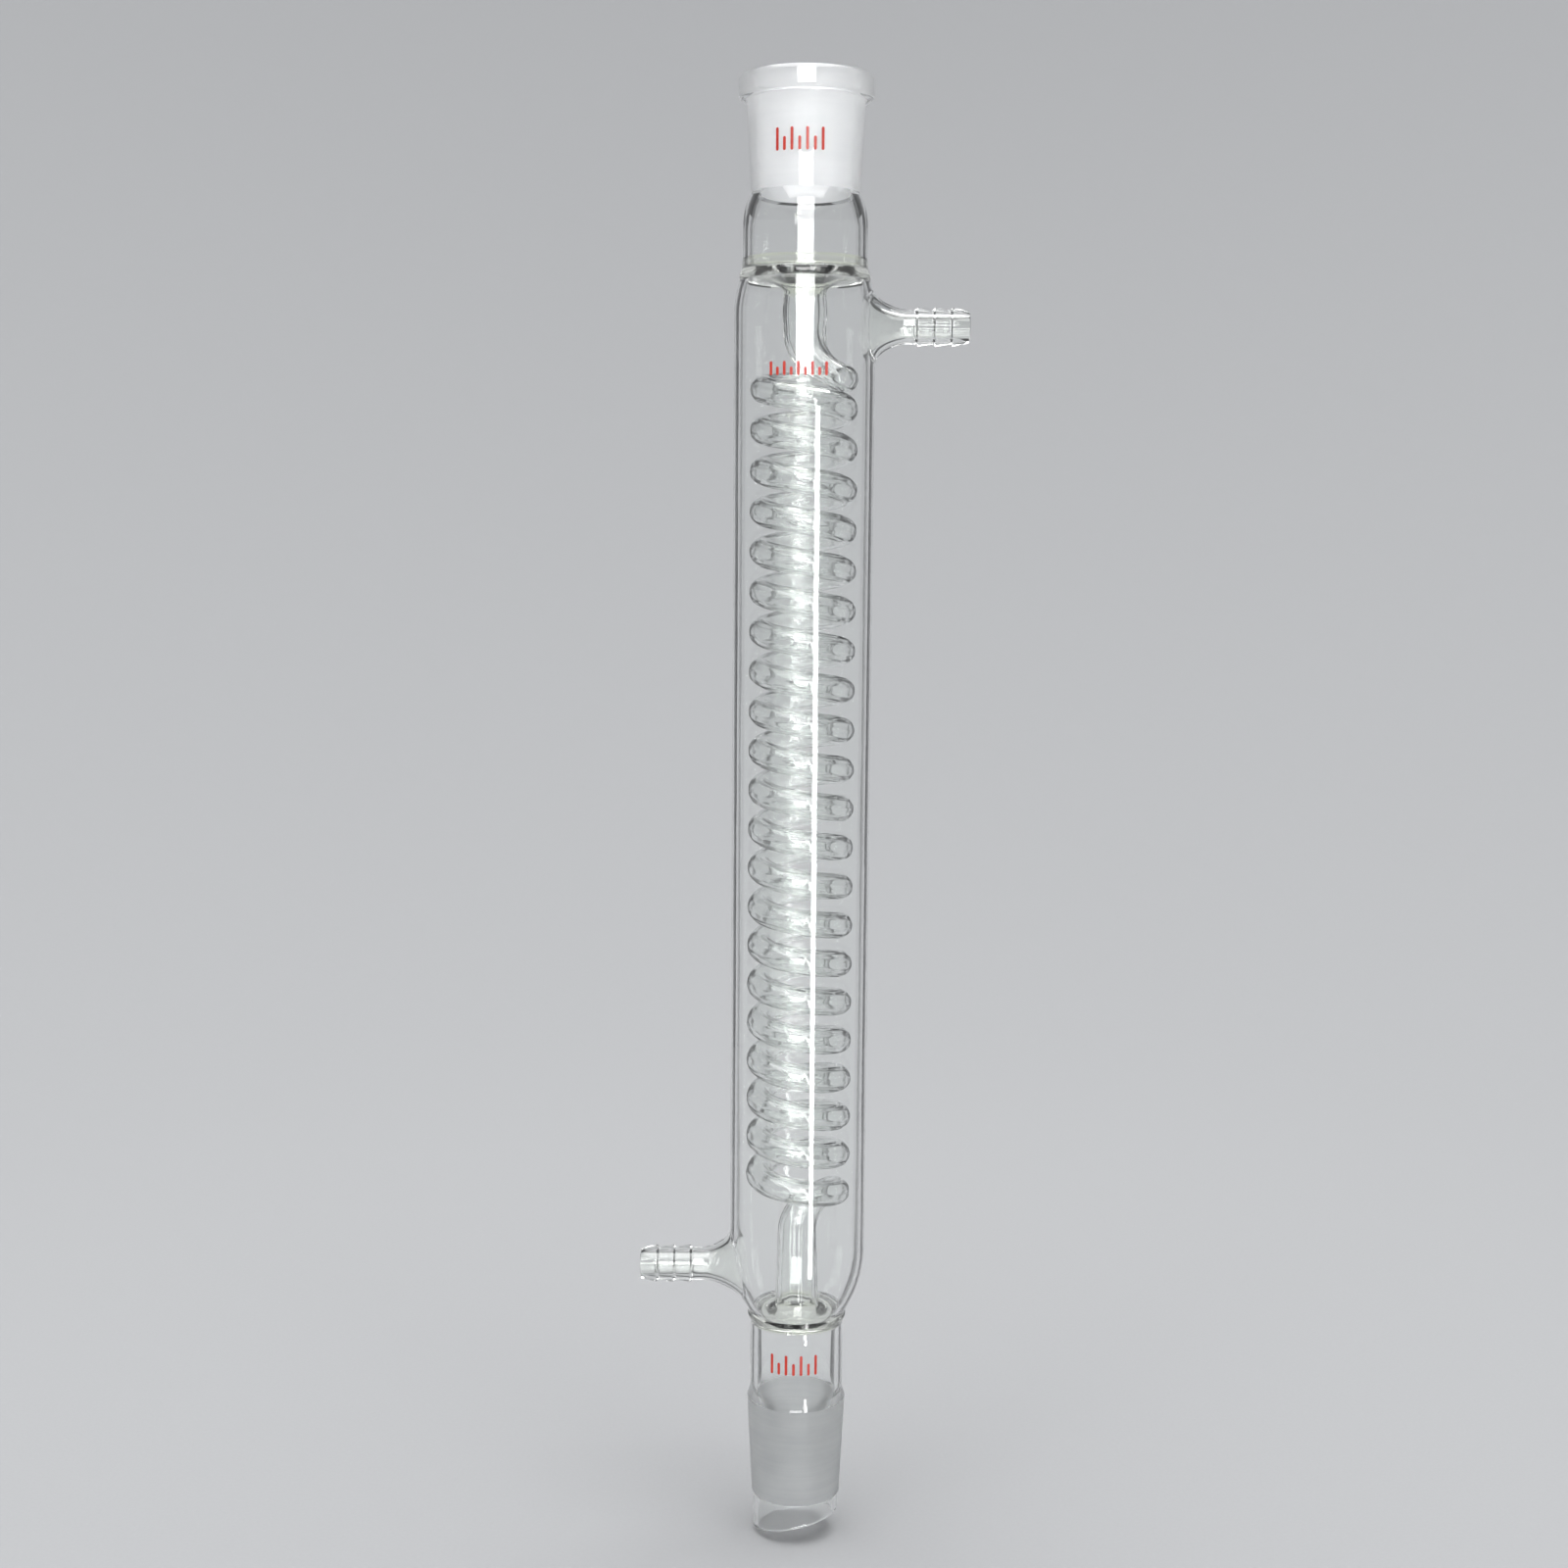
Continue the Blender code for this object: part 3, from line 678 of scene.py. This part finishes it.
mesh = bmesh.new()
outer = [(CONE_NECK_RADIUS, lower_seal_foot)]
for i in range(13):
    share = i / 12
    radius = CONE_NECK_RADIUS + (CONE_RADIUS - CONE_NECK_RADIUS) * share**CONE_FLARE_POWER
    outer.append((radius, CONE_FLARE * (1 - share)))
turned(mesh, outer)
bore = CONE_NECK_RADIUS - CONE_NECK_WALL
turned(mesh, [(bore, 0), (bore, lower_seal_foot)])
add_piece("cone_end_tube", mesh, [body_glass], "cone_neck")


# The ground joints. Socket and cone taper by 1 in 10 and are ground with fine abrasive,
# the socket inside and the cone outside, to an even frost. The other side stays glossy.

TAPER = 0.1
MOUTH_ROUND = 0.0004
RIM_HEIGHT = 0.0066
RIM_TOP_ROUND = 0.0018
RIM_LOW_ROUND = 0.0012
RIM_FILLET = 0.0006
TIP_RADIUS = 0.012625
TIP_WALL = 0.0016

socket_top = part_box("socket_joint")[1].z
rim_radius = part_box("socket_joint")[1].y
cone_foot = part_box("ground_cone")[0].z - SEAM / 2


def frosted_glass(name, colour, shade, share):
    """Ground glass: a rough clear surface, whitened by its pits. The grinding leaves an
    even grain with faint rings round the taper."""
    material, tone = new_material(name)
    grain = tone.noise((5200, 5200, 5200), 3.0, 0.7)
    rings = tone.noise((40, 40, 900), 2.0)
    cloud = tone.noise((120, 120, 120), 3.0)
    patches = cloud * 0.4 + grain * 0.25 + rings * 0.35
    values = {
        "Base Color": patches.ramp(0.35, 0.65).blend(colour, shade),
        "Roughness": 0.42 + grain * 0.2 + rings * 0.08,
        "IOR": 1.47,
        "Transmission Weight": share,
        "Normal": (grain + rings * 0.3).bump(0.00002),
    }
    tone.finish(tone.node("ShaderNodeBsdfPrincipled", None, values))
    return material


def arc(radius, height, size, start, stop, steps=8):
    """Points of a round edge about (radius, height), from start to stop in degrees."""
    found = []
    for i in range(steps + 1):
        angle = math.radians(start + (stop - start) * i / steps)
        found.append((radius + size * math.cos(angle), height + size * math.sin(angle)))
    return found


def ground_faces(mesh, rows, material_index):
    """Gives the faces between rows of corners another of the piece's materials."""
    wanted = {corner for row in rows for corner in row}
    for face in mesh.faces:
        if all(corner in wanted for corner in face.verts):
            face.material_index = material_index


def socket_bore(height):
    return CONE_RADIUS - TAPER / 2 * (socket_top - height)


socket_frost = frosted_glass("socket_grinding", (0.95, 0.95, 0.96), (0.88, 0.89, 0.90), 0.5)
rim_foot = socket_top - RIM_HEIGHT
body_top = rim_foot - RIM_FILLET
mouth = socket_bore(socket_top) + MOUTH_ROUND
outside = arc(mouth, socket_top - MOUTH_ROUND, MOUTH_ROUND, 170, 90, 5)
edge = rim_radius - RIM_TOP_ROUND
outside += arc(edge, socket_top - RIM_TOP_ROUND, RIM_TOP_ROUND, 90, 0, 10)
edge = rim_radius - RIM_LOW_ROUND
outside += arc(edge, rim_foot + RIM_LOW_ROUND, RIM_LOW_ROUND, 0, -80)
hollow = socket_bore(rim_foot) + SOCKET_WALL + RIM_FILLET
outside += arc(hollow, body_top, RIM_FILLET, 100, 180, 5)
outside.append((socket_foot_radius, socket_foot))
inside = [(socket_foot_radius - SOCKET_WALL, socket_foot), outside[0]]
mesh = bmesh.new()
turned(mesh, outside)
ground_faces(mesh, turned(mesh, inside), 1)
add_piece("ground_socket", mesh, [body_glass, socket_frost], "socket_joint")

# The cone's frost is painted a darker grey than the socket's frost: painted shade for the cone
# catching less light, not a different grinding.
shaded_cone_frost = frosted_glass("cone_grinding", (0.78, 0.79, 0.785), (0.66, 0.675, 0.68), 0.72)
cone_foot_radius = CONE_RADIUS + TAPER / 2 * cone_foot
mesh = bmesh.new()
ground_faces(mesh, turned(mesh, [(CONE_RADIUS, 0), (cone_foot_radius, cone_foot)]), 1)
turned(mesh, [(TIP_RADIUS - TIP_WALL, cone_foot), (CONE_NECK_RADIUS - CONE_NECK_WALL, 0)])
add_piece("ground_taper", mesh, [body_glass, shaded_cone_frost], "ground_cone")


# The drip tip. The clear tube below the cone is cut off at a slant and fire-polished, so
# that the condensate runs to one point and drops off there.

TIP_SHOULDER = 0.0009
TIP_LENGTH = 0.0094
TIP_SLANT = (0.2213, -0.142)
TIP_ROUND = 0.0008


def slant_height(point):
    """The height of the slanted cut below or above a point."""
    return cone_foot - TIP_LENGTH + TIP_SLANT[0] * point.x + TIP_SLANT[1] * point.y


def tip_ring(radius, share, rise=0.0):
    """A ring that goes from level, where share is 0, to the slant, where it is 1."""
    ring = turned_ring(radius, 0)
    start = cone_foot - TIP_SHOULDER
    for point in ring:
        point.z = start + (slant_height(point) + rise - start) * share
    return ring


mesh = bmesh.new()
rings = [turned_ring(cone_foot_radius, cone_foot)]
for i in range(1, 5):
    share = i / 4
    radius = TIP_RADIUS + (cone_foot_radius - TIP_RADIUS) * (1 - share) ** 2
    rings.append(turned_ring(radius, cone_foot - TIP_SHOULDER * share))
rings += [tip_ring(TIP_RADIUS, i / 6, TIP_ROUND) for i in range(1, 7)]
for radius, rise in arc(TIP_RADIUS - TIP_WALL / 2, TIP_ROUND, TIP_ROUND, 0, -180, 10)[1:-1]:
    rings.append(tip_ring(radius, 1, rise))
bore = TIP_RADIUS - TIP_WALL
rings += [tip_ring(bore, i / 6, TIP_ROUND) for i in range(6, -1, -1)]
rings.append(turned_ring(bore, cone_foot))
loft(mesh, rings)
add_piece("slanted_drip_tip", mesh, [body_glass], "drip_tip")


# The enamel marks. A comb of fine strokes stands for the sizes that are printed on the
# glass in red enamel and fired on, thinner and paler where the screen held less.

STROKE = 0.0008
SHORT_STROKE = 0.6
ENAMEL = 0.00004
ENAMEL_GAP = 0.00002

enamel, tone = new_material("fired_red_enamel")
patches = tone.noise((700, 700, 700), 3.0, 0.6)
grain = tone.noise((4000, 4000, 4000), 2.0)
values = {
    "Base Color": patches.ramp(0.35, 0.75).blend((0.70, 0.02, 0.006), (0.80, 0.06, 0.025)),
    "Roughness": 0.3 + grain * 0.25,
    "Normal": (grain + patches).bump(0.00001),
}
tone.finish(tone.node("ShaderNodeBsdfPrincipled", None, values))


def add_stroke(mesh, surface, across, up, width, height):
    """One raised stroke: a slab that follows the glass, with its corners rounded."""
    round_off = min(width, height) * 0.45
    corners = []
    for x, z, start in ((1, 1, 0), (-1, 1, 90), (-1, -1, 180), (1, -1, 270)):
        centre = (across + x * (width / 2 - round_off), up + z * (height / 2 - round_off))
        corners += arc(*centre, round_off, start, start + 90, 4)
    rings = []
    for out in (ENAMEL_GAP, ENAMEL_GAP + ENAMEL):
        ring = []
        for along, height_here in corners:
            radius = surface(height_here)
            turn = along / radius - math.pi / 2
            reach = radius + out
            ring.append(Vector((reach * math.cos(turn), reach * math.sin(turn), height_here)))
        rings.append(ring)
    rows = loft(mesh, rings)
    for face in mesh.faces[-len(corners) :]:
        face.normal_flip()
    mesh.faces.new(rows[1])
    mesh.faces.new(rows[0][::-1])


def add_mark(name, node, surface, ticks):
    low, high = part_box(node)
    middle = math.atan2(-low.y, (low.x + high.x) / 2) - math.pi / 2
    radius = surface((low.z + high.z) / 2)
    aside = -middle * radius
    width = high.x - low.x
    height = high.z - low.z
    mesh = bmesh.new()
    for i in range(ticks):
        length = height if i % 2 == 0 else height * SHORT_STROKE
        place = aside + (width - STROKE) * (i / (ticks - 1) - 0.5)
        add_stroke(mesh, surface, place, low.z + length / 2, STROKE, length)
    add_piece(name, mesh, [enamel], node)


add_mark(
    "enamel_comb_on_socket",
    "socket_size_mark",
    lambda height: socket_bore(height) + SOCKET_WALL,
    7,
)
add_mark("enamel_comb_on_jacket", "jacket_length_mark", jacket_outside, 9)
add_mark("enamel_comb_on_cone_tube", "cone_size_mark", lambda height: CONE_NECK_RADIUS, 7)


# The ground. One sheet of pale paper lies flat under the condenser and curves up far
# behind it on every side.

FLAT_REACH = 0.6
PAPER_BEND = 2.4
PAPER_TOP = 3.2

ground_height = cad_box[0][2]
line = [(FLAT_REACH * i / 12 + 0.0001, 0) for i in range(12)]
line += arc(FLAT_REACH, PAPER_BEND, PAPER_BEND, -90, 0, 40)
line.append((FLAT_REACH + PAPER_BEND, PAPER_TOP))
mesh = bmesh.new()
turned(mesh, [(radius, ground_height + height) for radius, height in line[::-1]])
data = bpy.data.meshes.new("pale_paper")
mesh.to_mesh(data)
mesh.free()
data.shade_smooth()
paper, tone = new_material("pale_paper")
fibres = tone.noise((900, 900, 900), 4.0, 0.6)
tint = fibres.blend((0.35, 0.353, 0.36), (0.375, 0.378, 0.385))
values = {"Base Color": tint, "Roughness": 0.85 + fibres * 0.1, "Specular IOR Level": 0.0}
tone.finish(tone.node("ShaderNodeBsdfPrincipled", None, values))
data.materials.append(paper)
ground = bpy.data.objects.new("pale_paper", data)
bpy.context.scene.collection.objects.link(ground)


# The studio. A soft box stands over the viewer's side, a narrow strip lamp to the right of
# it, and a large soft box overhead lights the paper. Black cloths behind and above, which
# only the glass sees, draw its edges as dark lines.


def add_lamp(name, place, target, size, power, seen_by_paper):
    light = bpy.data.lights.new(name, "AREA")
    light.shape = "RECTANGLE"
    light.size, light.size_y = size
    light.energy = power
    lamp = bpy.data.objects.new(name, light)
    lamp.location = place
    lamp.rotation_euler = (Vector(target) - Vector(place)).to_track_quat("-Z", "Y").to_euler()
    lamp.visible_camera = False
    lamp.visible_diffuse = seen_by_paper
    bpy.context.scene.collection.objects.link(lamp)
    return lamp


add_lamp("front_soft_box", (0, -1.5, 1.0), (0, 0, 0.35), (0.9, 1.25), 45, False)
add_lamp("right_strip", (0.06, -0.155, 0.13), (0, 0, 0.13), (0.02, 0.34), 0.4, False)
add_lamp("overhead_soft_box", (0, -0.3, 2.9), (0, 0, 0), (3.2, 3.2), 150, True)

CLOTH_START = 0.03
CLOTH_REACH = 0.6
CLOTH_FOOT = 0.001
CLOTH_LOW = 0.53
CLOTH_HIGH = 0.68
CLOTH_TURNS = (20, 36)

black_cloth, tone = new_material("black_cloth")
weave = tone.noise((600, 600, 600), 2.0)
values = {"Base Color": weave.blend((0.012, 0.012, 0.013), (0.02, 0.02, 0.021)), "Roughness": 0.9}
tone.finish(tone.node("ShaderNodeBsdfPrincipled", None, values))


def add_cloth(name, line, start, stop, steps):
    """A black cloth that only the glass sees. It follows a line of (radius, height) and
    goes round the axis from one angle to another."""
    mesh = bmesh.new()
    rows = []
    for radius, height in line:
        row = []
        for i in range(steps + 1):
            turn = math.radians(start + (stop - start) * i / steps)
            row.append(mesh.verts.new((radius * math.sin(turn), radius * math.cos(turn), height)))
        rows.append(row)
    for first, second in zip(rows, rows[1:]):
        for i in range(steps):
            mesh.faces.new((first[i], first[i + 1], second[i + 1], second[i]))
    data = bpy.data.meshes.new(name)
    mesh.to_mesh(data)
    mesh.free()
    data.materials.append(black_cloth)
    cloth = bpy.data.objects.new(name, data)
    cloth.visible_camera = False
    cloth.visible_diffuse = False
    cloth.visible_glossy = False
    cloth.visible_shadow = False
    bpy.context.scene.collection.objects.link(cloth)


foot = ground_height + CLOTH_FOOT
side_line = [(CLOTH_START, foot), (CLOTH_REACH, foot), (CLOTH_REACH, CLOTH_LOW)]
add_cloth("black_collar", [(CLOTH_REACH, CLOTH_LOW), (CLOTH_REACH, CLOTH_HIGH)], 0, 360, 96)
add_cloth("right_black_cloth", side_line, *CLOTH_TURNS, 8)
add_cloth("left_black_cloth", side_line, -CLOTH_TURNS[1], -CLOTH_TURNS[0], 8)

world = bpy.data.worlds.new("studio_air")
world.use_nodes = True
world.node_tree.nodes["Background"].inputs["Color"].default_value = (0.93, 0.96, 1.0, 1)
world.node_tree.nodes["Background"].inputs["Strength"].default_value = 0.45
bpy.context.scene.world = world

scene = bpy.context.scene
scene.view_settings.view_transform = "Standard"
scene.cycles.max_bounces = 40
scene.cycles.transmission_bounces = 40
scene.cycles.glossy_bounces = 12
scene.cycles.diffuse_bounces = 4

CAMERA_PLACE = (-0.0049, -0.6066, 0.2576)
CAMERA_PITCH = 6.895
CAMERA_ROLL = 0.42
CAMERA_LENS = 48.375

camera = bpy.data.objects.new("camera", bpy.data.cameras.new("camera"))
camera.data.lens = CAMERA_LENS
camera.data.sensor_width = 36
camera.data.clip_start = 0.01
camera.location = CAMERA_PLACE
level = Matrix.Rotation(math.radians(90 - CAMERA_PITCH), 3, "X")
camera.rotation_euler = (level @ Matrix.Rotation(math.radians(CAMERA_ROLL), 3, "Z")).to_euler()
scene.collection.objects.link(camera)
scene.camera = camera
